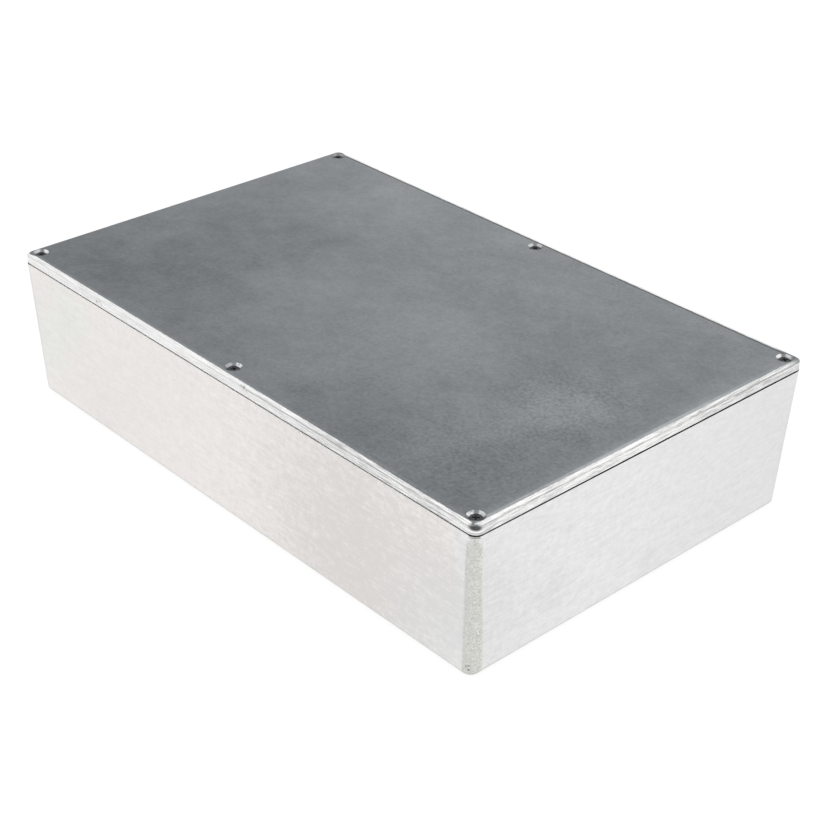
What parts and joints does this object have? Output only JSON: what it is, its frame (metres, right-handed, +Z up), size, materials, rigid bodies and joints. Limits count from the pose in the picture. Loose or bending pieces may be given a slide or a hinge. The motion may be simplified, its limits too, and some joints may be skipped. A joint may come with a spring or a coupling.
{
  "type": "die-cast aluminium enclosure",
  "caption": "Shallow rectangular die-cast metal enclosure with tapered walls and a flat lid held on by countersunk screws, for housing circuits.",
  "frame": {"origin": "middle of the underside, at the height of the surface that the enclosure stands on", "axes": "+X along the length, +Y across the width towards the rear long side, +Z up through the lid"},
  "size_m": [0.275, 0.175, 0.0655],
  "materials": {
    "base_aluminium": "linished flat walls with fine straight grain, as-cast corners, floor and inside",
    "lid_aluminium": "as-cast satin grey top, slightly cloudy, with a linished bright edge",
    "screw_steel": "dark plated steel"
  },
  "bodies": {
    "root": {"base_casting": "base_aluminium", "lid": "lid_aluminium", "lid_screw_front_left": "screw_steel", "lid_screw_front_middle": "screw_steel", "lid_screw_front_right": "screw_steel", "lid_screw_rear_left": "screw_steel", "lid_screw_rear_middle": "screw_steel", "lid_screw_rear_right": "screw_steel"}
  },
  "joints": []
}
